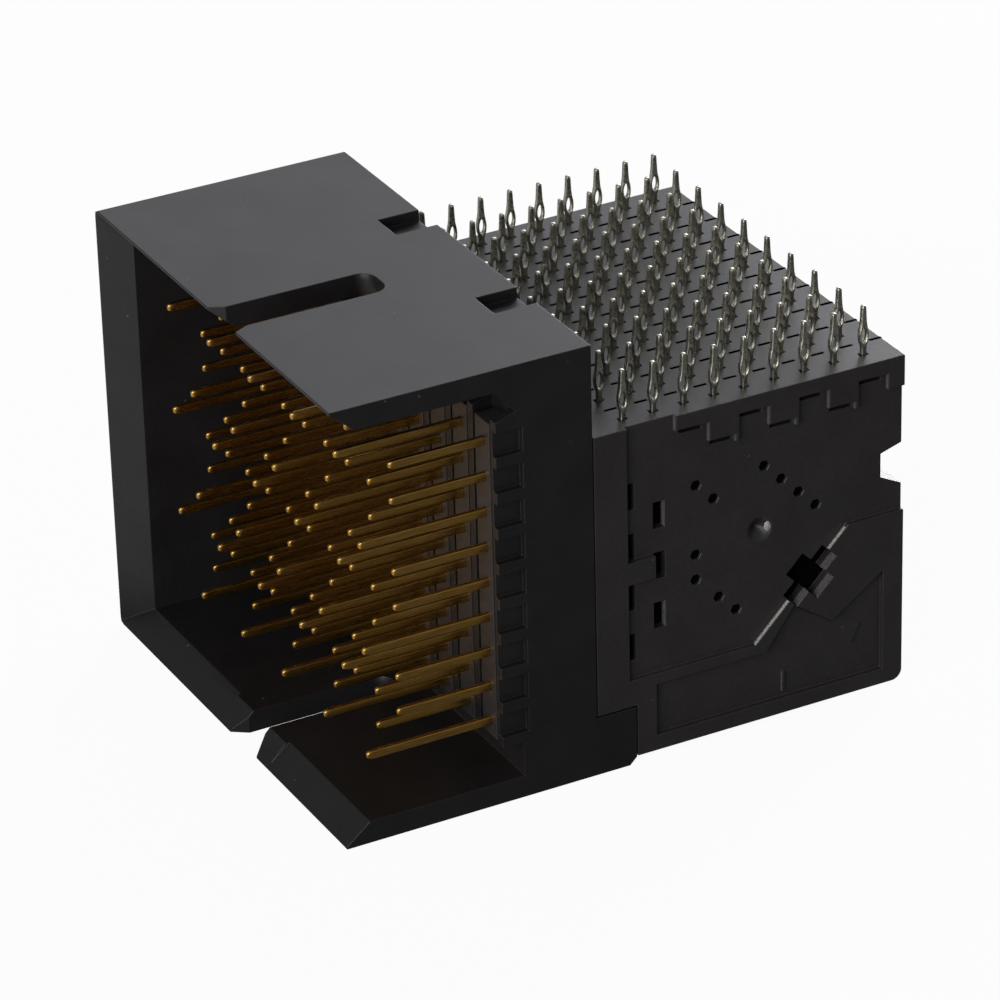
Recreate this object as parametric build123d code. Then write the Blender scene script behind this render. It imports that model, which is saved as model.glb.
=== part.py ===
from build123d import *
import math
import os

# A right-angle backplane header. A moulded shroud, open on its +X side, holds ten
# moulded wafers. Nine stamped contacts run through each wafer, from a mating pin in
# the shroud to a press-fit tail on top. Lengths are in millimetres. X runs across
# the columns, -Y is the mating side and Z is up.

# Contact grid
columns = 10
rows = 9
column_pitch = 2.0
row_pitch = 1.665
tail_pitch = 1.47

# Shroud walls and depths
shroud_wall = 1.05
left_wall = 1.4
left_flange = 2.7
pin_to_wall = 2.565
shroud_depth = 8.5
base_thickness = 3.55
foot_height = 2.8
foot_length = 1.93
foot_corner = 0.35
outer_round = 0.35

# Lead-in chamfer of the shroud's rim, the gusset under its top wall
lead_in_depth = 1.12
rim_land = 0.12
gusset = 1.05

# Keying slots, wider in the top wall than in the bottom one, where steeper pads
# stand beside the mouth, and notches in the top wall's back edge
top_key_width = 2.0
bottom_key_width = 1.6
key_length = 7.4
key_end_round = 0.7
top_key_flare = 0.35
bottom_key_flare = 0.5
key_flare_length = 0.7
key_pad_reach = 2.4
key_pad_depth = 0.93
notch_width = 1.7
notch_length = 2.0
notch_depth = 0.5
notch_spacing = 8.94

# Comb between the wafer noses, and the windows in its last rib
rib_thickness = 0.45
rib_setback = 0.05
nose_groove = 0.25
slot_end_margin = 1.02
rib_top_rise = 0.18
rib_foot_drop = 0.15
window_height = 1.12
window_lift = 0.13
window_depth = 0.3
window_reach = 0.27

# Wafers
wafer_gap = 0.04
fit_gap = 0.05
nose_projection = 1.05
top_row_cover = 0.735
body_lift = 0.35
tail_setback = 1.97
tail_to_back = 1.52
back_notch_depth = 1.04
back_notch_levels = (9.6, 10.13, 11.26, 11.57)
back_corner = 0.5

# Stamped contacts
stock_thickness = 0.25
lead_width = 0.4
long_pin = 5.9
short_pin = 4.4
pin_bevel = 0.25
pin_tip_width = 0.18
dip_cover = 0.35
dip_setback = 1.55
lead_bend = 45.0
first_rise = 0.49
rise_spacing = 0.956

# Press-fit tails
tail_length = 2.25
eye_width = 0.48
eye_start = 0.5
eye_end = 0.95
eye_hole_width = 0.22
eye_hole_start = 0.38
eye_hole_end = 1.1
neck_width = 0.28
neck_height = 1.3
tail_tip_width = 0.14

# Outer face of the last wafer, from the body's lower front corner
panel_depth = 0.22
panel_left = 1.6
panel_bottom = 3.78
panel_rise = 4.62
panel_break = 7.8
tab_length = 1.35
tab_width = 1.1
tab_level = 8.4
band_start = 3.94
band_width = 0.7
tooth_start = 5.57
tooth_length = 1.46
tooth_drop = 0.9
nub_length = 0.16
nub_drop = 0.35
back_tooth_drop = 0.75

# Core pockets beside the frame, in a row beyond them and under the toothed band, all
# stopping short of the leads
core_depth = 0.8
core_height = 1.25
core_pitch = 2.41
core_count = 4
core_first_level = 5.27
core_near = 1.6
core_near_width = 0.4
core_far = 2.93
core_far_width = 0.55
shallow_core_depth = 0.6
edge_core_gap = 0.12
edge_core_length = 1.08
edge_core_height = 0.28

# Holes left by the pins that hold the leads in the mould
pin_hole_size = 0.52
pin_hole_spacing = 0.85
pin_hole_starts = [(8.35, 12.24), (5.01, 12.19), (6.1, 6.53), (4.97, 7.67), (4.98, 8.88)]
pin_hole_counts = [4, 2, 2, 1, 1]
dimple_place = (8.13, 9.26)
dimple_radius = 0.62
dimple_point = 0.055
dimple_depth = 0.45
cross_place = (10.56, 6.36)
cross_along = 1.15
cross_across = 2.0
cross_arm_width = 0.8
cross_arm_length = 2.75

# Lower recess with its rib and its plain triangular marker
recess_depth = 0.25
recess_left = 2.9
recess_low = 0.75
recess_high = 3.25
recess_right = 14.2
recess_right_high = 5.65
recess_pad_tip = (11.6, 3.85)
recess_pad_end = (9.7, 5.15)
recess_rib = (9.2, 1.02)
recess_rib_width = 0.15
recess_rib_height = 0.95
marker_place = (12.7, 2.83)
marker_size = 0.45
mark_height = 0.1

# Places that follow from the sizes above
stack_width = columns * column_pitch
housing_width = left_flange + stack_width
housing_depth = shroud_depth + base_thickness
housing_height = 2 * shroud_wall + 2 * pin_to_wall + (rows - 1) * row_pitch
first_tail = housing_depth + tail_setback
overall_depth = first_tail + (rows - 1) * tail_pitch + tail_to_back
left_x = -housing_width / 2
right_x = housing_width / 2
rim_y = -overall_depth / 2
housing_back_y = rim_y + housing_depth
base_front_y = rim_y + shroud_depth
nose_front_y = base_front_y - nose_projection
back_y = rim_y + overall_depth
body_front_y = housing_back_y + fit_gap
foot_back_y = housing_back_y + foot_length
lowest_row_z = shroud_wall + pin_to_wall
highest_row_z = lowest_row_z + (rows - 1) * row_pitch
body_top_z = highest_row_z - top_row_cover
body_height = body_top_z - body_lift
slot_bottom_z = foot_height
slot_top_z = highest_row_z + slot_end_margin
ceiling_z = housing_height - shroud_wall
field_centre_x = right_x - stack_width / 2
half_lead = lead_width / 2
half_wafer = (column_pitch - wafer_gap) / 2
slot_left = nose_groove - column_pitch / 2
slot_right = column_pitch / 2 - rib_thickness
nose_left = slot_left + wafer_gap / 2
nose_right = slot_right - wafer_gap / 2


def column_x(column):
    """Middle of a column, counted from 1 at the closed side of the shroud."""
    return right_x - stack_width + (column - 0.5) * column_pitch


def row_z(row):
    """Height of a row of pins, counted from 1 at the top."""
    return highest_row_z - (row - 1) * row_pitch


def tail_y(row):
    """Place of a row's tails, row 1 being next to the shroud."""
    return rim_y + first_tail + (row - 1) * tail_pitch


def block(x_range, y_range, z_range):
    """Box between two limits along each axis."""
    sizes = [high - low for low, high in (x_range, y_range, z_range)]
    middle = [(high + low) / 2 for low, high in (x_range, y_range, z_range)]
    return Pos(*middle) * Box(*sizes)


def side_plate(outline, x_low, x_high):
    """Prism across X on an outline given as (y, z) points."""
    face = make_face(Polyline(*outline, close=True))
    return extrude(Plane.YZ.offset(x_low) * face, amount=x_high - x_low)


def rim_mouth():
    """Tapered mouth that gives the three walls their lead-in chamfers."""
    reach = right_x + column_pitch
    chamfer_depth = shroud_wall - rim_land
    faces = []
    for y, grow in ((rim_y, chamfer_depth), (rim_y + lead_in_depth, 0.0)):
        x_low = left_x + left_wall - grow * (left_wall - rim_land) / chamfer_depth
        z_low = shroud_wall - grow
        z_high = ceiling_z + grow
        middle = Vector((x_low + reach) / 2, y, (z_low + z_high) / 2)
        plane = Plane(origin=middle, x_dir=(1, 0, 0), z_dir=(0, 1, 0))
        faces.append(plane * Rectangle(reach - x_low, z_high - z_low))
    return loft(faces)


def key_slot(width, flare):
    """Keying slot seen from above, with a flared mouth and a rounded inner end."""
    half = width / 2
    mouth = half + flare
    end_y = rim_y + key_length
    outline = [
        (-mouth, rim_y),
        (-half, rim_y + key_flare_length),
        (-half, end_y),
        (half, end_y),
        (half, rim_y + key_flare_length),
        (mouth, rim_y),
    ]
    slot = make_face(Polyline(*outline, close=True))
    inner = slot.vertices().group_by(Axis.Y)[-1]
    return fillet(inner, key_end_round)


def housing_blank():
    """Outer block with its foot, rounded along the closed side."""
    outline = [
        (rim_y, 0.0),
        (foot_back_y - foot_corner, 0.0),
        (foot_back_y, foot_corner),
        (foot_back_y, foot_height),
        (housing_back_y, foot_height),
        (housing_back_y, housing_height),
        (rim_y, housing_height),
    ]
    body = side_plate(outline, left_x, right_x)
    closed_side = body.faces().sort_by(Axis.X)[0]
    long_edges = closed_side.edges().filter_by(Axis.Y)
    top_and_bottom = [long_edges.sort_by(Axis.Z)[0], long_edges.sort_by(Axis.Z)[-1]]
    return fillet(top_and_bottom, outer_round)


def shroud_cavity():
    """Space of the pin field, with a gusset left between ceiling and base."""
    outline = [
        (rim_y, shroud_wall),
        (base_front_y, shroud_wall),
        (base_front_y, ceiling_z - gusset),
        (base_front_y - gusset, ceiling_z),
        (rim_y, ceiling_z),
    ]
    return side_plate(outline, left_x + left_wall, right_x)


def key_pad():
    """Steeper lead-in beside the mouth of the bottom keying slot."""
    outline = [
        (rim_y, 0.0),
        (rim_y + lead_in_depth, 0.0),
        (rim_y + lead_in_depth, shroud_wall),
        (rim_y + key_pad_depth, shroud_wall),
        (rim_y, rim_land),
    ]
    return side_plate(outline, field_centre_x - key_pad_reach, field_centre_x + key_pad_reach)


def comb_ribs():
    """Ribs that stand forward from the base between the wafer noses."""
    ribs = []
    rib_front_y = nose_front_y + rib_setback
    rib_foot_z = slot_bottom_z - rib_foot_drop
    outline = [
        (rib_front_y, rib_foot_z),
        (base_front_y, rib_foot_z),
        (base_front_y, ceiling_z - gusset),
        (rib_front_y, slot_top_z + rib_top_rise),
    ]
    for column in range(1, columns + 1):
        x_high = column_x(column) + column_pitch / 2
        ribs.append(side_plate(outline, x_high - rib_thickness, x_high))
    return ribs


def rib_windows():
    """Pockets in the open side of the last rib, one a little above each row."""
    windows = []
    x_range = (right_x - window_depth, right_x)
    y_range = (nose_front_y + rib_setback, base_front_y + window_reach)
    for row in range(1, rows + 1):
        z_low = row_z(row) + window_lift - window_height / 2
        windows.append(block(x_range, y_range, (z_low, z_low + window_height)))
    return windows


def nose_slots():
    """Slots through the base that the wafer noses slide into from behind."""
    slots = []
    for column in range(1, columns + 1):
        x_range = (column_x(column) + slot_left, column_x(column) + slot_right)
        slots.append(block(x_range, (base_front_y, housing_back_y), (slot_bottom_z, slot_top_z)))
    return slots


def make_housing():
    """Shroud with its cavity, keying slots, back notches, comb and nose slots."""
    housing = housing_blank() - shroud_cavity() - rim_mouth() + key_pad()
    bottom_slot = key_slot(bottom_key_width, bottom_key_flare)
    top_slot = key_slot(top_key_width, top_key_flare)
    housing -= Pos(field_centre_x, 0, 0) * extrude(bottom_slot, amount=shroud_wall)
    housing -= Pos(field_centre_x, 0, ceiling_z) * extrude(top_slot, amount=shroud_wall)
    for side in (-1, 1):
        middle = field_centre_x + side * notch_spacing / 2
        x_range = (middle - notch_width / 2, middle + notch_width / 2)
        y_range = (housing_back_y - notch_length, housing_back_y)
        z_range = (housing_height - notch_depth, housing_height)
        housing -= block(x_range, y_range, z_range)
    housing += comb_ribs()
    return housing - nose_slots() - rib_windows()


def tail_outline(middle_y, side):
    """One flank of a press-fit tail, from the wafer's top up to the tip."""
    stations = [
        (lead_width, 0.0),
        (eye_width, eye_start),
        (eye_width, eye_end),
        (neck_width, neck_height),
        (tail_tip_width, tail_length),
    ]
    return [(middle_y + side * width / 2, body_top_z + height) for width, height in stations]


def lead_flank(row, side):
    """One flank of a lead between its pin and its tail, below it for side 1."""
    slope = math.tan(math.radians(lead_bend / 2)) * half_lead
    level = row_z(row)
    end_y = tail_y(row)
    if row == 1:
        dip_level = body_top_z - dip_cover
        drop = level - dip_level
        dip_y = housing_back_y - dip_setback
        return [
            (dip_y - side * slope, level - side * half_lead),
            (dip_y + drop - side * slope, dip_level - side * half_lead),
            (end_y + side * half_lead, dip_level - side * half_lead),
        ]
    rise = first_rise + (row - 2) * rise_spacing
    return [
        (end_y - rise + side * slope, level - side * half_lead),
        (end_y + side * half_lead, level + rise - side * slope),
    ]


def contact_outline(row, pin_length):
    """Closed outline of a stamped contact in the middle plane of its wafer."""
    level = row_z(row)
    tip_y = nose_front_y - pin_length
    below = [(tip_y, level - pin_tip_width / 2), (tip_y + pin_bevel, level - half_lead)]
    above = [(tip_y, level + pin_tip_width / 2), (tip_y + pin_bevel, level + half_lead)]
    below += lead_flank(row, 1) + tail_outline(tail_y(row), 1)
    above += lead_flank(row, -1) + tail_outline(tail_y(row), -1)
    return below + above[::-1]


def eye_hole(row):
    """Pointed hole that lets the tail's two beams close in a board's hole."""
    middle_y = tail_y(row)
    middle_z = body_top_z + (eye_hole_start + eye_hole_end) / 2
    outline = [
        (middle_y, body_top_z + eye_hole_start),
        (middle_y + eye_hole_width / 2, middle_z),
        (middle_y, body_top_z + eye_hole_end),
        (middle_y - eye_hole_width / 2, middle_z),
    ]
    return side_plate(outline, -stock_thickness / 2, stock_thickness / 2)


def make_contact(row, pin_length):
    """Stamped contact: mating pin, bent lead and eye-of-needle tail in one strip."""
    strip = side_plate(contact_outline(row, pin_length), -stock_thickness / 2, stock_thickness / 2)
    return strip - eye_hole(row)


def ground_rows(column):
    """Rows of a column's long pins, which mate first; neighbours are staggered."""
    first = 3 if column % 2 == 0 else 1
    return list(range(first, rows + 1, 3))


def wafer_blank():
    """Moulded plate with a narrower nose that goes into the shroud's base."""
    notch_floor_y = back_y - back_notch_depth
    notch_z = [body_lift + level for level in back_notch_levels]
    body_outline = [
        (body_front_y, slot_bottom_z + fit_gap),
        (foot_back_y + fit_gap, slot_bottom_z + fit_gap),
        (foot_back_y + fit_gap, body_lift),
        (back_y, body_lift),
        (back_y, notch_z[0]),
        (notch_floor_y, notch_z[1]),
        (notch_floor_y, notch_z[2]),
        (back_y, notch_z[3]),
        (back_y, body_top_z),
        (body_front_y, body_top_z),
    ]
    nose_outline = [
        (nose_front_y, slot_bottom_z + fit_gap),
        (body_front_y, slot_bottom_z + fit_gap),
        (body_front_y, body_top_z),
        (housing_back_y, body_top_z),
        (housing_back_y, slot_top_z - fit_gap),
        (nose_front_y, slot_top_z - fit_gap),
    ]
    body = side_plate(body_outline, -half_wafer, half_wafer)
    low_back_corner = body.edges().filter_by(Axis.X).group_by(Axis.Y)[-1].sort_by(Axis.Z)[0]
    body = fillet(low_back_corner, back_corner)
    return body + side_plate(nose_outline, nose_left, nose_right)


def make_wafer():
    """Wafer with a channel moulded around each lead."""
    wafer = wafer_blank()
    for row in range(1, rows + 1):
        wafer -= make_contact(row, short_pin)
    return wafer


def face_prism(points, low, high):
    """Prism over the last wafer's outer face, between two levels below that face."""
    outline = [(body_front_y + y, body_lift + z) for y, z in points]
    return side_plate(outline, half_wafer - low, half_wafer - high)


def face_box(y_low, z_low, width, height, depth):
    """Rectangular pocket cut into the outer face."""
    y_high = y_low + width
    z_high = z_low + height
    return face_prism([(y_low, z_low), (y_high, z_low), (y_high, z_high), (y_low, z_high)], depth, 0)


def main_panel():
    """Recess over the leads: a tab stands into it and a toothed band closes its top."""
    body_length = back_y - body_front_y
    top = body_height
    band_low = top - band_width
    outline = [
        (panel_left, tab_level),
        (panel_left, panel_bottom),
        (panel_break, panel_bottom),
        (panel_break + panel_rise, panel_bottom + panel_rise),
        (body_length, panel_bottom + panel_rise),
    ]
    tooth_places = [tooth_start + 2 * tail_pitch * step for step in range((rows - 1) // 2)]
    last = tooth_places.pop()
    outline += [(body_length, band_low - back_tooth_drop), (last, band_low - back_tooth_drop)]
    outline.append((last, band_low))
    for place in reversed(tooth_places):
        tooth_low = band_low - tooth_drop
        outline += [
            (place + tooth_length, band_low),
            (place + tooth_length, tooth_low - nub_drop),
            (place + tooth_length - nub_length, tooth_low - nub_drop),
            (place + tooth_length - nub_length, tooth_low),
            (place, tooth_low),
            (place, band_low),
        ]
    outline += [
        (band_start, band_low),
        (band_start, top),
        (panel_left, top),
        (panel_left, tab_level + tab_width),
        (panel_left + tab_length, tab_level + tab_width),
        (panel_left + tab_length, tab_level),
    ]
    return face_prism(outline, panel_depth, 0)


def core_pockets():
    """Two staggered columns of slots beside the front edge of the panel."""
    pockets = []
    for step in range(core_count):
        level = core_first_level + core_pitch * step - core_height / 2
        pockets.append(face_box(core_near, level, core_near_width, core_height, core_depth))
        if step < core_count - 1:
            level += core_pitch / 2
            pockets.append(face_box(core_far, level, core_far_width, core_height, shallow_core_depth))
    return pockets


def edge_cores():
    """Thin slots along the lower edges of the toothed band and of its teeth."""
    band_low = body_height - band_width
    tooth_low = band_low - tooth_drop
    places = []
    for step in range((rows - 1) // 2):
        tooth = tooth_start + 2 * tail_pitch * step
        gap_start = tooth + tooth_length - 2 * tail_pitch
        places.append((gap_start + edge_core_gap, band_low))
        if step < (rows - 1) // 2 - 1:
            places.append((tooth + edge_core_gap, tooth_low))
    return [
        face_box(y, top - edge_core_height, edge_core_length, edge_core_height, shallow_core_depth)
        for y, top in places
    ]


def pin_holes():
    """Hexagonal holes in short runs that step down across the bend of the leads."""
    holes = []
    for start, count in zip(pin_hole_starts, pin_hole_counts):
        for step in range(count):
            y = body_front_y + start[0] + step * pin_hole_spacing
            z = body_lift + start[1] - step * pin_hole_spacing
            plane = Plane.YZ.offset(half_wafer - core_depth)
            hexagon = plane * Pos(y, z) * RegularPolygon(pin_hole_size / 2, 6)
            holes.append(extrude(hexagon, amount=core_depth))
    return holes


def dimple():
    """Shallow cone in the middle of the panel."""
    y = body_front_y + dimple_place[0]
    z = body_lift + dimple_place[1]
    middle_x = half_wafer - panel_depth - dimple_depth / 2
    return Pos(middle_x, y, z) * Rot(0, 90, 0) * Cone(dimple_point, dimple_radius, dimple_depth)


def cross_core():
    """Oblong core hole with two arms, turned to lie along the panel's diagonal."""
    plane = Plane.YZ.offset(half_wafer - core_depth)
    place = Pos(body_front_y + cross_place[0], body_lift + cross_place[1]) * Rot(0, 0, 45)
    shape = Rectangle(cross_along, cross_across) + Rectangle(cross_arm_length, cross_arm_width)
    return extrude(plane * place * shape, amount=core_depth)


def lower_recess():
    """Shallow recess below the diagonal, around a pad that carries the cross."""
    inner_break = panel_break + panel_bottom - recess_high
    outline = [
        (recess_left, recess_low),
        (recess_right, recess_low),
        (recess_right, recess_right_high),
        recess_pad_tip,
        recess_pad_end,
        (inner_break, recess_high),
        (recess_left, recess_high),
    ]
    return face_prism(outline, recess_depth, 0)


def recess_marks():
    """Small rib and plain triangle that stand on the floor of the lower recess."""
    rib_y, rib_z = recess_rib
    rib = [
        (rib_y, rib_z),
        (rib_y + recess_rib_width, rib_z),
        (rib_y + recess_rib_width, rib_z + recess_rib_height),
        (rib_y, rib_z + recess_rib_height),
    ]
    mark_y, mark_z = marker_place
    triangle = [
        (mark_y, mark_z - marker_size),
        (mark_y + marker_size, mark_z + marker_size),
        (mark_y - marker_size, mark_z + marker_size),
    ]
    level = recess_depth - mark_height
    return [face_prism(rib, recess_depth, level), face_prism(triangle, recess_depth, level)]


def make_last_wafer(wafer):
    """Last wafer with the panel, slots, holes and marks of its outer face."""
    wafer -= [main_panel(), dimple(), cross_core(), lower_recess()]
    wafer -= core_pockets()
    wafer -= edge_cores()
    wafer -= pin_holes()
    return wafer + recess_marks()


def save(node, solids):
    """Write the solids of one node to its own file."""
    shape = solids[0] if len(solids) == 1 else Compound(children=solids)
    shape.label = node
    export_step(shape, os.path.join("parts", node + ".step"))


def main():
    """Build every piece and write it to the parts folder."""
    os.makedirs("parts", exist_ok=True)
    save("shroud_housing", [make_housing()])
    wafer = make_wafer()
    for column in range(1, columns + 1):
        place = Pos(column_x(column), 0, 0)
        moulding = wafer if column < columns else make_last_wafer(wafer)
        save(f"wafer_{column:02d}", [place * moulding])
        long_rows = ground_rows(column)
        signal_rows = [row for row in range(1, rows + 1) if row not in long_rows]
        save(f"ground_contacts_{column:02d}", [place * make_contact(row, long_pin) for row in long_rows])
        save(f"signal_contacts_{column:02d}", [place * make_contact(row, short_pin) for row in signal_rows])


main()
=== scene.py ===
import math

import bmesh
import bpy
from mathutils import Matrix, Vector


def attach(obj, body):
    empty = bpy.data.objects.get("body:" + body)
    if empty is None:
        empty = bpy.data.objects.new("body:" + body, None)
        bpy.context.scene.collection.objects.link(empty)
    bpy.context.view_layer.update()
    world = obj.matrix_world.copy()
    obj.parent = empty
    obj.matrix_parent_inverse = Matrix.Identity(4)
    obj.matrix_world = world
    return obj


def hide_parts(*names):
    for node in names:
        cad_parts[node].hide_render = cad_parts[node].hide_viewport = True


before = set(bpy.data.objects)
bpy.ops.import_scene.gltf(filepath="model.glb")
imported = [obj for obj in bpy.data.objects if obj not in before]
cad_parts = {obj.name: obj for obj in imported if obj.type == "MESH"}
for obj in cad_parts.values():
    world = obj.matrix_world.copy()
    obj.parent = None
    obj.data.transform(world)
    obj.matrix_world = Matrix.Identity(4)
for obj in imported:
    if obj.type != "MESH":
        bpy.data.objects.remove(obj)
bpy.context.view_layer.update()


# Viewpoint. A long lens looks down on the open end of the shroud from its right,
# with the part lying on its bottom wall and the press-fit tails on top.
mm = 0.001
view_azimuth = math.radians(62.5154)
view_elevation = math.radians(28.0049)
view_roll = math.radians(-1.5164)
view_distance = 238.708 * mm
view_target = Vector((2.9105, -1.6074, 9.4881)) * mm
focal_pixels = 5524.57
picture_width = 1000
film_width = 36.0
nearest_seen = 0.01
furthest_seen = 20.0

towards_eye = Vector((
    math.sin(view_azimuth) * math.cos(view_elevation),
    -math.cos(view_azimuth) * math.cos(view_elevation),
    math.sin(view_elevation),
))
level_right = Vector((math.cos(view_azimuth), math.sin(view_azimuth), 0.0))
level_up = towards_eye.cross(level_right)
picture_right = level_right * math.cos(view_roll) + level_up * math.sin(view_roll)
picture_up = level_up * math.cos(view_roll) - level_right * math.sin(view_roll)

lens = bpy.data.cameras.new("photo_lens")
lens.sensor_width = film_width
lens.lens = focal_pixels / picture_width * film_width
lens.clip_start = nearest_seen
lens.clip_end = furthest_seen
photo_camera = bpy.data.objects.new("photo_camera", lens)
turned_to_eye = Matrix((picture_right, picture_up, towards_eye)).transposed().to_4x4()
photo_camera.matrix_world = Matrix.Translation(view_target + towards_eye * view_distance) @ turned_to_eye
bpy.context.scene.collection.objects.link(photo_camera)
bpy.context.scene.camera = photo_camera
bpy.context.scene.view_settings.view_transform = "Standard"


# Table and light. The part stands on matt white card in a white studio and is lit by
# three softboxes. The card keeps the part's own shadow.
def linear(hex_colour):
    """Linear colour of an sRGB hex value."""
    parts = [int(hex_colour[i:i + 2], 16) / 255 for i in (1, 3, 5)]
    return [c / 12.92 if c <= 0.04045 else ((c + 0.055) / 1.055) ** 2.4 for c in parts] + [1.0]


def add_node(tree, kind, inputs=None, links=None, **settings):
    """Adds a node: its own settings, values for its sockets and links from (node, output)."""
    node = tree.nodes.new("ShaderNode" + kind)
    for name, value in settings.items():
        setattr(node, name, value)
    for name, value in (inputs or {}).items():
        node.inputs[name].default_value = value
    for name, (source, output) in (links or {}).items():
        tree.links.new(source.outputs[output], node.inputs[name])
    return node


def new_material(name):
    """Empty node material."""
    material = bpy.data.materials.new(name)
    material.use_nodes = True
    material.node_tree.nodes.clear()
    return material


# Matt white card: plain white to the eye, with a soft shadow. In mirrored rays it shows
# painted shade beside and behind the part, and a painted pool of light in front of the pins,
# where the front light falls. It bounces light back as a grey card does, so black plastic stays black.
card_seen_white = 0.95
card_mirrored_dim = 0.06
card_mirrored_bright = 0.45
card_dim_until_y = -15
card_bright_from_y = -19
card_half_width = 1.5

white_card = new_material("white_card")
tree = white_card.node_tree
path = add_node(tree, "LightPath")
tone = add_node(tree, "Mix", {"A": linear("#4c4c4c"), "B": linear("#f4f4f4")},
                {"Factor": (path, "Is Camera Ray")}, data_type="RGBA")
matt = add_node(tree, "BsdfDiffuse", {}, {"Color": (tone, "Result")})
plain_white = add_node(tree, "Emission", {"Color": linear("#ffffff"), "Strength": 1.0})
mirrored = add_node(tree, "Math", {}, {0: (path, "Is Glossy Ray"), 1: (path, "Is Transmission Ray")},
                    operation="MAXIMUM")
place = add_node(tree, "TexCoord")
place_axes = add_node(tree, "SeparateXYZ", {}, {"Vector": (place, "Object")})
# Painted pool of light: mirrored rays see the card brighter towards the front, dim elsewhere
painted_front_pool = add_node(tree, "MapRange",
                     {"From Min": card_dim_until_y * mm, "From Max": card_bright_from_y * mm,
                      "To Min": card_mirrored_dim, "To Max": card_mirrored_bright},
                     {"Value": (place_axes, "Y")})
mirrored_share = add_node(tree, "Math", {}, {0: (mirrored, 0), 1: (painted_front_pool, "Result")},
                          operation="MULTIPLY")
seen_share = add_node(tree, "Math", {1: card_seen_white},
                      {0: (path, "Is Camera Ray"), 2: (mirrored_share, 0)}, operation="MULTIPLY_ADD")
card_mix = add_node(tree, "MixShader", {}, {0: (seen_share, 0), 1: (matt, 0), 2: (plain_white, 0)})
add_node(tree, "OutputMaterial", {}, {"Surface": (card_mix, 0)})

card_corners = [(-1, -1), (1, -1), (1, 1), (-1, 1)]
card_mesh = bpy.data.meshes.new("table_card")
card_mesh.from_pydata([(x * card_half_width, y * card_half_width, 0) for x, y in card_corners],
                      [], [(0, 1, 2, 3)])
card_mesh.materials.append(white_card)
table_card = bpy.data.objects.new("table_card", card_mesh)
bpy.context.scene.collection.objects.link(table_card)

# White sky: plain white to the eye and through openings, faint in mirrored rays, and a
# low even light on the part.
sky_light_level = 0.15
sky_mirrored_share = 0.05

sky = bpy.data.worlds.new("white_sky")
sky.use_nodes = True
tree = sky.node_tree
tree.nodes.clear()
path = add_node(tree, "LightPath")
seen_plainly = add_node(tree, "Math", {}, {0: (path, "Is Camera Ray"), 1: (path, "Is Transmission Ray")},
                        operation="MAXIMUM")
seen_share = add_node(tree, "Math", {1: sky_mirrored_share},
                      {0: (path, "Is Glossy Ray"), 2: (seen_plainly, 0)}, operation="MULTIPLY_ADD")
low_light = add_node(tree, "Background", {"Color": linear("#ffffff"), "Strength": sky_light_level})
plain_white = add_node(tree, "Background", {"Color": linear("#ffffff"), "Strength": 1.0})
sky_mix = add_node(tree, "MixShader", {}, {0: (seen_share, 0), 1: (low_light, 0), 2: (plain_white, 0)})
add_node(tree, "OutputWorld", {}, {"Surface": (sky_mix, 0)})
bpy.context.scene.world = sky


def softbox(name, place, size, watts, tint="#ffffff"):
    """Square area lamp aimed at the middle of the part, with its place and size in mm."""
    lamp = bpy.data.lights.new(name, "AREA")
    lamp.color = linear(tint)[:3]
    lamp.size = size * mm
    lamp.energy = watts
    box = bpy.data.objects.new(name, lamp)
    box.location = Vector(place) * mm
    box.rotation_euler = (view_target - box.location).to_track_quat("-Z", "Y").to_euler()
    bpy.context.scene.collection.objects.link(box)


# The first skims the top faces with a cool light, the second lights the pins and the
# shroud's open end, and the third stands behind the tails
softbox("back_left_softbox", place=(-235, 125, 165), size=190, watts=0.124, tint="#f4f6ff")
softbox("front_softbox", place=(160, -230, 105), size=240, watts=0.7)
softbox("rear_softbox", place=(-150, 215, 60), size=140, watts=0.65)


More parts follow.
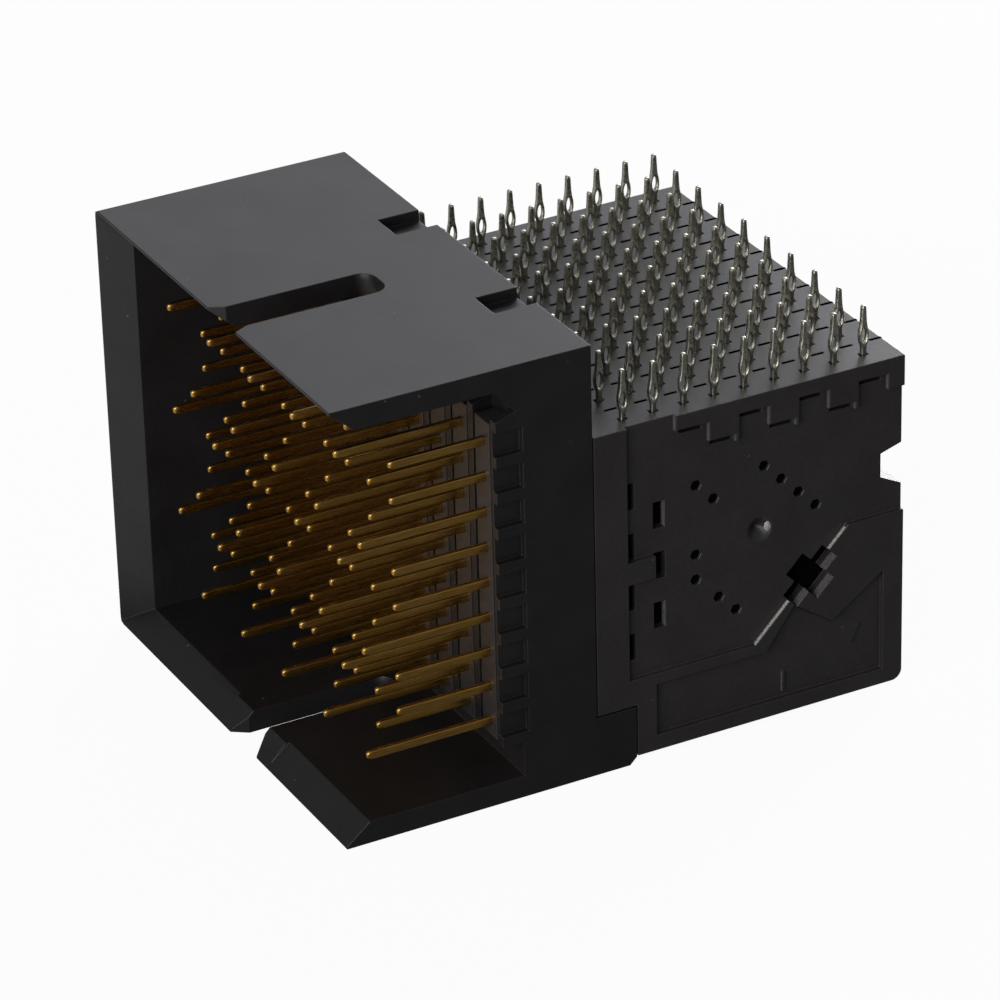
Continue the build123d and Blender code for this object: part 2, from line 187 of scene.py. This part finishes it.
# Shroud. One moulding in black glass-filled LCP, a liquid-crystal polymer: three walls round
# the pin field, a comb of tabs between the wafer noses, and a foot that carries the wafers.
def moulded_plastic(name, dark, light, roughness, grain, grain_depth):
    """Moulded glass-filled LCP with a spark-eroded grain, in mm.

    It looks near black and satin, clouded and mottled where fibres lie near the skin, with
    a few specks of dust. The fibres, really 0.01 mm thick, are drawn coarser so that they show.
    """
    cloud_size, fibre_size = 2.2, 0.16
    dust_spacing, dust_core, dust_rim = 1.5, 0.033, 0.051
    material = new_material(name)
    tree = material.node_tree
    place = add_node(tree, "TexCoord")
    cloud = add_node(tree, "TexNoise", {"Scale": 1 / (cloud_size * mm), "Detail": 3.0},
                     {"Vector": (place, "Object")})
    fibre = add_node(tree, "TexNoise", {"Scale": 1 / (fibre_size * mm), "Detail": 2.0},
                     {"Vector": (place, "Object")})
    half_cloud = add_node(tree, "Math", {1: 0.5}, {0: (cloud, "Fac")}, operation="MULTIPLY")
    mottle = add_node(tree, "Math", {1: 0.5}, {0: (fibre, "Fac"), 2: (half_cloud, 0)},
                      operation="MULTIPLY_ADD")
    tone = add_node(tree, "ValToRGB", {}, {"Fac": (mottle, 0)})
    for stop, position, colour in zip(tone.color_ramp.elements, (0.35, 0.68), (dark, light)):
        stop.position = position
        stop.color = linear(colour)
    cell = add_node(tree, "TexVoronoi", {"Scale": 1 / (dust_spacing * mm)}, {"Vector": (place, "Object")})
    dust = add_node(tree, "MapRange",
                    {"From Min": dust_core / dust_spacing, "From Max": dust_rim / dust_spacing,
                     "To Min": 1.0, "To Max": 0.0},
                    {"Value": (cell, "Distance")})
    dusty = add_node(tree, "Mix", {"B": linear("#5c5b59")},
                     {"Factor": (dust, "Result"), "A": (tone, "Color")}, data_type="RGBA")
    gloss = add_node(tree, "MapRange",
                     {"From Min": 0.35, "From Max": 0.65,
                      "To Min": roughness - 0.015, "To Max": roughness + 0.02},
                     {"Value": (cloud, "Fac")})
    erosion = add_node(tree, "TexNoise", {"Scale": 1 / (grain * mm), "Detail": 1.0},
                       {"Vector": (place, "Object")})
    relief = add_node(tree, "Bump", {"Strength": 1.0, "Distance": grain_depth * mm},
                      {"Height": (erosion, "Fac")})
    skin = add_node(tree, "BsdfPrincipled", {"IOR": 1.5, "Specular IOR Level": 0.5},
                    {"Base Color": (dusty, "Result"), "Roughness": (gloss, "Result"),
                     "Normal": (relief, "Normal")})
    add_node(tree, "OutputMaterial", {}, {"Surface": (skin, 0)})
    return material


def dress(node, plastic, edge_round):
    """Gives a moulding of the frame its plastic and the edges, rounded in mm, that a mould leaves."""
    facet_gap, sharp_angle = 0.0005, 25
    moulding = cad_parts[node]
    moulding.data.materials.clear()
    moulding.data.materials.append(plastic)
    weld = moulding.modifiers.new("joined_facets", "WELD")
    weld.merge_threshold = facet_gap * mm
    edge = moulding.modifiers.new("mould_rounding", "BEVEL")
    edge.width = edge_round * mm
    edge.segments = 2
    edge.limit_method = "ANGLE"
    edge.angle_limit = math.radians(sharp_angle)
    edge.harden_normals = True
    edge.loop_slide = False
    edge.use_clamp_overlap = False


shroud_plastic = moulded_plastic("black_glass_filled_lcp_shroud", dark="#181617", light="#201e1f",
                                 roughness=0.42, grain=0.09, grain_depth=0.0035)
dress("shroud_housing", shroud_plastic, edge_round=0.035)


# Wafers. Ten thin mouldings in a greyer grade of the same plastic, a little smoother, that
# hold the leads. They are pushed side by side into the slots of the shroud's base.
wafer_count = 10
wafer_plastic = moulded_plastic("black_glass_filled_lcp_wafer", dark="#2c292a", light="#353233",
                                roughness=0.37, grain=0.11, grain_depth=0.003)
for column in range(1, wafer_count + 1):
    dress(f"wafer_{column:02d}", wafer_plastic, edge_round=0.045)


# Joints between wafers. Moulded lands on the flanks set the wafers' pitch and close the joint
# at the top. Short dark strips on it, in line beside the tails, are painted shade for the open slots
# there.
column_pitch = 2.0
first_joint_x = -6.65
land_half_width = 0.05
land_front_y, land_back_y = -1.5, 13.6
land_low_z, land_top_z = 15.6, 16.196
slots_in_joint = 10
first_slot_y = 0.37
slot_spacing = 1.442
slot_half_length = 0.3
slot_half_width = 0.075
shade_strip_low_z, shade_strip_top_z = 16.19, 16.208


def add_prism(mesh, outline, x_low, x_high):
    """Prism over an outline of (y, z) points, between two x, in mm."""
    rings = [[mesh.verts.new((x * mm, y * mm, z * mm)) for y, z in outline] for x in (x_low, x_high)]
    made = [mesh.faces.new(rings[0][::-1]), mesh.faces.new(rings[1])]
    for i in range(len(outline)):
        j = (i + 1) % len(outline)
        made.append(mesh.faces.new((rings[0][i], rings[0][j], rings[1][j], rings[1][i])))
    return made


def rectangle(y_low, z_low, y_high, z_high):
    """Outline of an upright rectangle."""
    return [(y_low, z_low), (y_high, z_low), (y_high, z_high), (y_low, z_high)]


def wafer_piece(name, mesh, materials):
    """Small moulded detail that belongs to the wafers."""
    bmesh.ops.recalc_face_normals(mesh, faces=mesh.faces)
    detail = bpy.data.meshes.new(name)
    mesh.to_mesh(detail)
    mesh.free()
    for material in materials:
        detail.materials.append(material)
    piece = bpy.data.objects.new(name, detail)
    bpy.context.scene.collection.objects.link(piece)
    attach(piece, "root")


# Painted shade: near-black matt colour without gloss, laid where the deep insides of narrow
# slots and pockets are in shade. The faint change of tone is that of the walls lower down.
slot_shade_paint = new_material("painted_shade_in_lcp_slots")
tree = slot_shade_paint.node_tree
wall_tone_size = 0.3
place = add_node(tree, "TexCoord")
wall_tone = add_node(tree, "TexNoise", {"Scale": 1 / (wall_tone_size * mm), "Detail": 2.0},
                     {"Vector": (place, "Object")})
tone = add_node(tree, "ValToRGB", {}, {"Fac": (wall_tone, "Fac")})
tone.color_ramp.elements[0].color = linear("#050505")
tone.color_ramp.elements[1].color = linear("#0e0d0d")
shade_paint_skin = add_node(tree, "BsdfPrincipled", {"IOR": 1.5, "Specular IOR Level": 0.0, "Roughness": 0.9},
                  {"Base Color": (tone, "Color")})
add_node(tree, "OutputMaterial", {}, {"Surface": (shade_paint_skin, 0)})

for joint in range(1, wafer_count):
    mesh = bmesh.new()
    joint_x = first_joint_x + column_pitch * (joint - 1)
    land = rectangle(land_front_y, land_low_z, land_back_y, land_top_z)
    add_prism(mesh, land, joint_x - land_half_width, joint_x + land_half_width)
    for slot in range(slots_in_joint):
        slot_y = first_slot_y + slot_spacing * slot
        # Painted shade: a thin near-black strip standing in for the shade down a slot
        strip_of_shade = rectangle(slot_y - slot_half_length, shade_strip_low_z, slot_y + slot_half_length, shade_strip_top_z)
        for face in add_prism(mesh, strip_of_shade, joint_x - slot_half_width, joint_x + slot_half_width):
            face.material_index = 1
    wafer_piece(f"joint_lands_{joint:02d}", mesh, [wafer_plastic, slot_shade_paint])


# Marks on the last wafer, whose face is shaped by steel cores. Deep pockets get near-black
# plates, painted shade, and walls that face the open end get paler strips, painted highlights.
def painted_highlight_plastic(name, dark, light):
    """Painted highlight: LCP drawn grey and matt, lighter than it is, streaked by the ends of its fibres.

    The ends, really 0.01 mm across, are drawn coarser so that they show.
    """
    fibre_size, fibre_height = 0.07, 0.01
    material = new_material(name)
    tree = material.node_tree
    place = add_node(tree, "TexCoord")
    fibre = add_node(tree, "TexNoise", {"Scale": 1 / (fibre_size * mm), "Detail": 3.0},
                     {"Vector": (place, "Object")})
    tone = add_node(tree, "ValToRGB", {}, {"Fac": (fibre, "Fac")})
    for stop, position, colour in zip(tone.color_ramp.elements, (0.35, 0.65), (dark, light)):
        stop.position = position
        stop.color = linear(colour)
    relief = add_node(tree, "Bump", {"Strength": 1.0, "Distance": fibre_height * mm},
                      {"Height": (fibre, "Fac")})
    skin = add_node(tree, "BsdfPrincipled", {"IOR": 1.5, "Specular IOR Level": 0.5, "Roughness": 0.55},
                    {"Base Color": (tone, "Color"), "Normal": (relief, "Normal")})
    add_node(tree, "OutputMaterial", {}, {"Surface": (skin, 0)})
    return material


painted_wall_highlight = painted_highlight_plastic("painted_highlight_on_lcp", dark="#474543", light="#64625f")
painted_glint = painted_highlight_plastic("painted_glint_on_lcp", dark="#76736e", light="#c8c5be")

face_x = 11.33
panel_depth = 0.22
mark_thickness = 0.02
mark_below_face = 0.03

tooth_fronts = (4.02, 6.96, 9.9)
tooth_width = 1.3
tooth_low_z, tooth_middle_z, tooth_high_z = 14.25, 14.6, 15.5
window_levels = (6.825, 9.235, 11.645)
near_slot_levels = (5.62, 8.03, 10.44, 12.85)
slot_reach = 0.62
window_wall_y = 1.93

# Painted highlights on walls that face the open end: y, lowest and highest z, depth of the wall's top and
# foot.
# The first three are the panel's front step, a rib in the recess and the panel's last tooth.
highlighted_walls = [
    (2.39, tooth_high_z, 16.17, 0.0, panel_depth),
    (7.65, 1.37, 2.32, 0.15, 0.25),
    (12.84, 14.75, tooth_high_z, 0.0, panel_depth),
]
for tooth_y in tooth_fronts:
    highlighted_walls.append((tooth_y, tooth_middle_z, tooth_high_z, 0.0, panel_depth))
    highlighted_walls.append((tooth_y + tooth_width, tooth_low_z, tooth_middle_z, 0.0, panel_depth))
for window_z in (window_levels[0], window_levels[2]):
    highlighted_walls.append((window_wall_y, window_z - slot_reach, window_z + slot_reach, panel_depth, 0.5))

mesh = bmesh.new()
for wall_y, z_low, z_high, top, foot in highlighted_walls:
    wall = rectangle(wall_y - mark_thickness, z_low, wall_y, z_high)
    add_prism(mesh, wall, face_x - foot, face_x - max(top, mark_below_face))

# The cross core stands at 45 degrees, on the edge of the panel that runs up its diagonal
cross_y, cross_z = 9.01, 6.71
half_root = math.sqrt(0.5)


def turned(along_low, across_low, along_high, across_high):
    """Outline of a rectangle that lies along the diagonal, measured from the cross's middle."""
    corners = [(along_low, across_low), (along_low, across_high),
               (along_high, across_high), (along_high, across_low)]
    return [(cross_y + (along + across) * half_root, cross_z + (along - across) * half_root)
            for along, across in corners]


cross_walls = [(-1.375, -0.575, 0.4), (0.575, 1.375, 0.4), (-0.575, 0.575, 1.0)]
cross_highlight_depth = 0.42
# Painted highlights on the cross pocket's walls that face the open end
for along_low, along_high, across in cross_walls:
    wall = turned(along_low, across - mark_thickness, along_high, across)
    add_prism(mesh, wall, face_x - cross_highlight_depth, face_x - mark_below_face)
wafer_piece("painted_highlights_on_core_walls", mesh, [painted_wall_highlight])

# Painted glints: pale strips on the panel's edge where it meets the cross, and the small gate bump drawn
# pale
glint_runs = [(-3.93, -1.42), (1.42, 2.6)]
glint_across = -0.13
glint_foot, glint_top = 0.15, 0.01
gate_place = (10.99, 7.04, 9.6)
gate_radii = (0.1, 0.2, 0.25)

mesh = bmesh.new()
for along_low, along_high in glint_runs:
    edge = turned(along_low, glint_across - mark_thickness, along_high, glint_across)
    add_prism(mesh, edge, face_x - glint_foot, face_x - glint_top)
gate = Matrix.Translation(Vector(gate_place) * mm) @ Matrix.Diagonal((*gate_radii, 1.0))
bmesh.ops.create_icosphere(mesh, subdivisions=2, radius=mm, matrix=gate)
wafer_piece("painted_glints_on_edges", mesh, [painted_glint])

# Painted shade: near-black plates on the floors of the pockets, just clear of their walls
cross_floors = [(-1.37, -0.39, 1.37, 0.39), (-0.57, -0.99, 0.57, -0.39), (-0.57, 0.39, 0.57, 0.99)]
cross_floor_depth = 0.805
window_floor_y, window_floor_depth = (1.39, 1.92), 0.605
near_slot_floor_y, near_slot_floor_depth = (0.06, 0.44), 0.47
hole_floor_radius, hole_floor_depth = 0.255, 0.38
# Each run of holes steps down towards the back: y and z of its first hole, number of holes
hole_runs = [(6.8, 12.59, 4), (3.46, 12.54, 2), (4.55, 6.88, 2), (3.42, 8.02, 1), (3.43, 9.23, 1)]
hole_step = 0.85


def add_floor_shade(mesh, outline, depth):
    """Plate of painted shade on a core pocket's floor, at its depth below the face."""
    add_prism(mesh, outline, face_x - depth, face_x - depth + mark_thickness)


mesh = bmesh.new()
for floor in cross_floors:
    add_floor_shade(mesh, turned(*floor), cross_floor_depth)
for levels, (y_low, y_high), depth in (
    (window_levels, window_floor_y, window_floor_depth),
    (near_slot_levels, near_slot_floor_y, near_slot_floor_depth),
):
    for level in levels:
        add_floor_shade(mesh, rectangle(y_low, level - slot_reach, y_high, level + slot_reach), depth)
hexagon = [math.radians(60 * i) for i in range(6)]
for hole_y, hole_z, count in hole_runs:
    for step in range(count):
        y, z = hole_y + hole_step * step, hole_z - hole_step * step
        floor = [(y + hole_floor_radius * math.cos(angle), z + hole_floor_radius * math.sin(angle))
                 for angle in hexagon]
        add_floor_shade(mesh, floor, hole_floor_depth)
wafer_piece("painted_shade_on_pocket_floors", mesh, [slot_shade_paint])


# Contacts. Nine strips of stamped copper alloy in each wafer, coined round at the mating
# tip, bent up inside the wafer, and ending in a press-fit tail like the eye of a needle.
first_column_x = -7.65
row_count = 9
row_pitch = 1.665
top_row_z = 16.935
tail_pitch = 1.47
first_tail_y = 0.37
nose_front_y = -6.2
wafer_top_z = 16.2
long_pin = 5.9
short_pin = 4.4
half_strip = 0.125
half_lead = 0.2
edge_round = 0.055
first_rise = 0.49
rise_spacing = 0.956
dip_start_y = -3.15
dip_z = 15.85

# Distance from the pin's tip and share of the full section there
pin_tip = [(0.0, 0.42), (0.015, 0.56), (0.045, 0.71), (0.09, 0.83), (0.15, 0.92), (0.22, 0.97), (0.3, 1.0)]
# Height above the wafer, half width, half of the eye's opening there, if any, and the
# share of the thickness left in the groove that is coined up the neck
tail_shape = [
    (-0.05, 0.12, None, 1.0), (0.3, 0.12, None, 1.0), (0.44, 0.135, None, 1.0), (0.53, 0.165, 0.0, 1.0),
    (0.6, 0.19, 0.06, 1.0), (0.7, 0.215, 0.105, 1.0), (0.84, 0.23, 0.13, 1.0), (0.98, 0.23, 0.13, 1.0),
    (1.12, 0.214, 0.105, 1.0), (1.24, 0.19, 0.055, 1.0), (1.33, 0.17, 0.0, 1.0), (1.42, 0.152, None, 0.7),
    (1.6, 0.132, None, 0.45), (1.95, 0.112, None, 0.45), (2.12, 0.104, None, 0.6), (2.2, 0.098, None, 1.0),
    (2.26, 0.092, None, 1.0), (2.3, 0.082, None, 1.0), (2.315, 0.066, None, 1.0),
]
gold_index, tin_index = 0, 1
# A tail narrower than this gets thinner too
full_thickness_half_width = 0.1
# How far a round's middle lies in from the corner, as a share of its radius
round_middle = 0.293


def gold_plate():
    """Hard gold over nickel on rolled strip: warm and bright, with faint streaks along the pin.

    The streaks, really a few thousandths of a mm wide, are drawn coarser so that they show.
    """
    streak_width, streak_length, streak_height = 0.05, 0.9, 0.0004
    material = new_material("gold_plated_copper_alloy")
    tree = material.node_tree
    place = add_node(tree, "TexCoord")
    streak_scale = (1 / (streak_width * mm), 1 / (streak_length * mm), 1 / (streak_width * mm))
    stretch = add_node(tree, "Mapping", {"Scale": streak_scale}, {"Vector": (place, "Object")})
    streak = add_node(tree, "TexNoise", {"Scale": 1.0, "Detail": 3.0}, {"Vector": (stretch, 0)})
    tone = add_node(tree, "ValToRGB", {}, {"Fac": (streak, "Fac")})
    for stop, position, colour in zip(tone.color_ramp.elements, (0.3, 0.7), ("#c29144", "#dab062")):
        stop.position = position
        stop.color = linear(colour)
    gloss = add_node(tree, "MapRange", {"From Min": 0.3, "From Max": 0.7, "To Min": 0.23, "To Max": 0.31},
                     {"Value": (streak, "Fac")})
    relief = add_node(tree, "Bump", {"Strength": 1.0, "Distance": streak_height * mm},
                      {"Height": (streak, "Fac")})
    metal = add_node(tree, "BsdfPrincipled", {"Metallic": 1.0},
                     {"Base Color": (tone, "Color"), "Roughness": (gloss, "Result"),
                      "Normal": (relief, "Normal")})
    add_node(tree, "OutputMaterial", {}, {"Surface": (metal, 0)})
    return material


def tin_plate():
    """Matt tin over nickel: grey and softly bright, with a fine crystalline mottle.

    The crystals, really about 0.01 mm, are drawn coarser so that they show.
    """
    crystal_size, crystal_height = 0.12, 0.0006
    material = new_material("tin_plated_copper_alloy")
    tree = material.node_tree
    place = add_node(tree, "TexCoord")
    crystal = add_node(tree, "TexNoise", {"Scale": 1 / (crystal_size * mm), "Detail": 2.0},
                       {"Vector": (place, "Object")})
    tone = add_node(tree, "ValToRGB", {}, {"Fac": (crystal, "Fac")})
    for stop, position, colour in zip(tone.color_ramp.elements, (0.3, 0.7), ("#b5b3a5", "#d6d4c8")):
        stop.position = position
        stop.color = linear(colour)
    gloss = add_node(tree, "MapRange", {"From Min": 0.3, "From Max": 0.7, "To Min": 0.24, "To Max": 0.36},
                     {"Value": (crystal, "Fac")})
    relief = add_node(tree, "Bump", {"Strength": 1.0, "Distance": crystal_height * mm},
                      {"Height": (crystal, "Fac")})
    metal = add_node(tree, "BsdfPrincipled", {"Metallic": 1.0},
                     {"Base Color": (tone, "Color"), "Roughness": (gloss, "Result"),
                      "Normal": (relief, "Normal")})
    add_node(tree, "OutputMaterial", {}, {"Surface": (metal, 0)})
    return material


def column_x(column):
    """Middle of a column of contacts, counted from the closed side of the shroud."""
    return first_column_x + (column - 1) * column_pitch


def row_z(row):
    """Height of a row of pins, counted from the top."""
    return top_row_z - (row - 1) * row_pitch


def tail_y(row):
    """Place of a row's tails, row 1 next to the shroud."""
    return first_tail_y + (row - 1) * tail_pitch


def lead_bends(row):
    """Places (y, z) where the lead turns between its pin and its tail."""
    level, end = row_z(row), tail_y(row)
    if row == 1:
        return [(dip_start_y, level), (dip_start_y + level - dip_z, dip_z), (end, dip_z)]
    rise = first_rise + (row - 2) * rise_spacing
    return [(end - rise, level), (end, level + rise)]


def strip_stations(row, pin_length):
    """Sections from pin tip to tail tip.

    Each is y, z, direction across, half width, half thickness, half of the eye, groove.
    """
    level = row_z(row)
    tip_y = nose_front_y - pin_length
    upright, lengthwise = (0.0, 1.0), (-1.0, 0.0)
    sections = []
    for distance, share in pin_tip:
        half_width, thick = half_lead * share, half_strip * share
        sections.append((tip_y + distance, level, upright, half_width, thick, None, 1.0))
    run = [(tip_y, level)] + lead_bends(row) + [(tail_y(row), wafer_top_z)]
    for before, here, after in zip(run, run[1:], run[2:]):
        run_in = (Vector(here) - Vector(before)).normalized()
        run_out = (Vector(after) - Vector(here)).normalized()
        middle = (run_in + run_out).normalized()
        across = (-middle.y, middle.x)
        sections.append((*here, across, half_lead / middle.dot(run_in), half_strip, None, 1.0))
    for height, half_width, eye, groove in tail_shape:
        thick = half_strip * min(1.0, half_width / full_thickness_half_width)
        sections.append((tail_y(row), wafer_top_z + height, lengthwise, half_width, thick, eye, groove))
    return sections


def flank(half, thick, turn):
    """Long edge of the strip, from front face to back face, its corners rounded to turn."""
    soft = turn * round_middle
    return [
        (half - turn, thick), (half - soft, thick - soft), (half, thick - turn),
        (half, turn - thick), (half - soft, soft - thick), (half - turn, -thick),
    ]


def add_contact(mesh, x, row, pin_length):
    """One stamped contact, gold on the pin and tin on the tail."""
    rings = []
    for y, z, across, half, thick, eye, groove in strip_stations(row, pin_length):
        def point(s, t):
            return mesh.verts.new(((x + t) * mm, (y + s * across[0]) * mm, (z + s * across[1]) * mm))

        # On a slim section the round takes half of the width or most of the thickness at most
        edge = flank(half, thick, min(edge_round, half * 0.5, thick * 0.6))
        outer = [[point(side * s, t) for s, t in edge] for side in (1, -1)]
        if eye is None:
            front, back = point(0, thick * groove), point(0, -thick * groove)
            middle = [front] + [None] * (len(edge) - 2) + [back]
            inner = [middle, middle]
        elif eye == 0.0:
            middle = [point(0, t) for _, t in edge]
            inner = [middle, middle]
        else:
            inner = [[point(side * (eye + half - s), t) for s, t in edge] for side in (1, -1)]
        rings.append((outer, inner, eye))

    for step, (low, high) in enumerate(zip(rings, rings[1:])):
        (low_outer, low_inner, low_eye), (high_outer, high_inner, high_eye) = low, high
        metal = gold_index if step < len(rings) - len(tail_shape) else tin_index
        for side in (0, 1):
            a, b, c, d = low_outer[side], high_outer[side], low_inner[side], high_inner[side]
            quads = [(a1, a2, b2, b1) for a1, a2, b1, b2 in zip(a, a[1:], b, b[1:])]
            quads.append((c[0], a[0], b[0], d[0]))
            quads.append((a[-1], c[-1], d[-1], b[-1]))
            if low_eye is not None and high_eye is not None:
                quads += [(c2, c1, d1, d2) for c1, c2, d1, d2 in zip(c, c[1:], d, d[1:])]
            for quad in quads:
                face = mesh.faces.new(quad if side == 0 else quad[::-1])
                face.material_index = metal
                face.smooth = True
    for end, metal in ((0, gold_index), (-1, tin_index)):
        outer, inner, _ = rings[end]
        loop = outer[0] + [inner[0][-1]] + outer[1][::-1] + [inner[0][0]]
        cap = mesh.faces.new(loop[::-1] if end == 0 else loop)
        cap.material_index = metal
        cap.smooth = True


gold, tin = gold_plate(), tin_plate()
for column in range(1, wafer_count + 1):
    # Every third contact is a long one, for ground, and even columns start two rows lower
    long_rows = list(range(3 if column % 2 == 0 else 1, row_count + 1, 3))
    short_rows = [row for row in range(1, row_count + 1) if row not in long_rows]
    for kind, rows, pin_length in (("ground", long_rows, long_pin), ("signal", short_rows, short_pin)):
        mesh = bmesh.new()
        for row in rows:
            add_contact(mesh, column_x(column), row, pin_length)
        bmesh.ops.recalc_face_normals(mesh, faces=mesh.faces)
        strip = bpy.data.meshes.new(f"{kind}_strips_{column:02d}")
        mesh.to_mesh(strip)
        mesh.free()
        strip.materials.append(gold)
        strip.materials.append(tin)
        piece = bpy.data.objects.new(f"{kind}_strips_{column:02d}", strip)
        bpy.context.scene.collection.objects.link(piece)
        flatten = piece.modifiers.new("flat_stock", "WEIGHTED_NORMAL")
        flatten.weight = 100
        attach(piece, "root")
        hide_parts(f"{kind}_contacts_{column:02d}")
